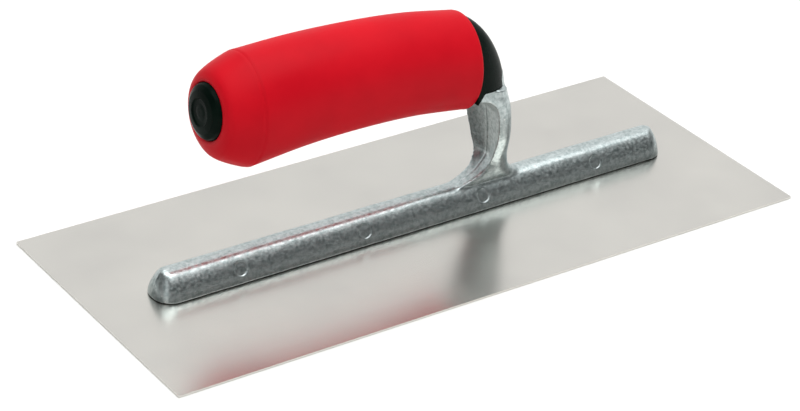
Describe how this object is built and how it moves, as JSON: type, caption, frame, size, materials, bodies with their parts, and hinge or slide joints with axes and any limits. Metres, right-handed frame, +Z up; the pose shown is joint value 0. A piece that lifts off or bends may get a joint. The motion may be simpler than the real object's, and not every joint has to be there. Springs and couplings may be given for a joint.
{
  "type": "finishing trowel",
  "caption": "Hand trowel: a long flat steel blade riveted under a cast aluminium bar, with a post at the front that carries a soft barrel grip lying above the blade.",
  "frame": {"origin": "centre of the blade's underside, which is the bottom of the object", "axes": "+X along the blade towards the end where the post stands, +Y across the blade, +Z up from the blade to the grip"},
  "size_m": [0.28, 0.12, 0.0919],
  "materials": {
    "blade_steel": "satin, ground lengthwise",
    "rivet_steel": "ground flush",
    "cast_aluminium": "die cast and tumbled",
    "hard_plastic": "moulded, semi-gloss",
    "soft_grip": "moulded soft grip, satin",
    "plated_steel": "zinc plated"
  },
  "bodies": {
    "root": {"blade": "blade_steel", "blade_rivet_1": "rivet_steel", "blade_rivet_2": "rivet_steel", "blade_rivet_3": "rivet_steel", "blade_rivet_4": "rivet_steel", "blade_rivet_5": "rivet_steel", "mounting": "cast_aluminium", "handle_core": "hard_plastic", "grip_sleeve": "soft_grip", "front_collar": "hard_plastic", "end_cap": "hard_plastic", "tang_washer": "plated_steel", "tang_screw": "plated_steel"}
  },
  "joints": []
}
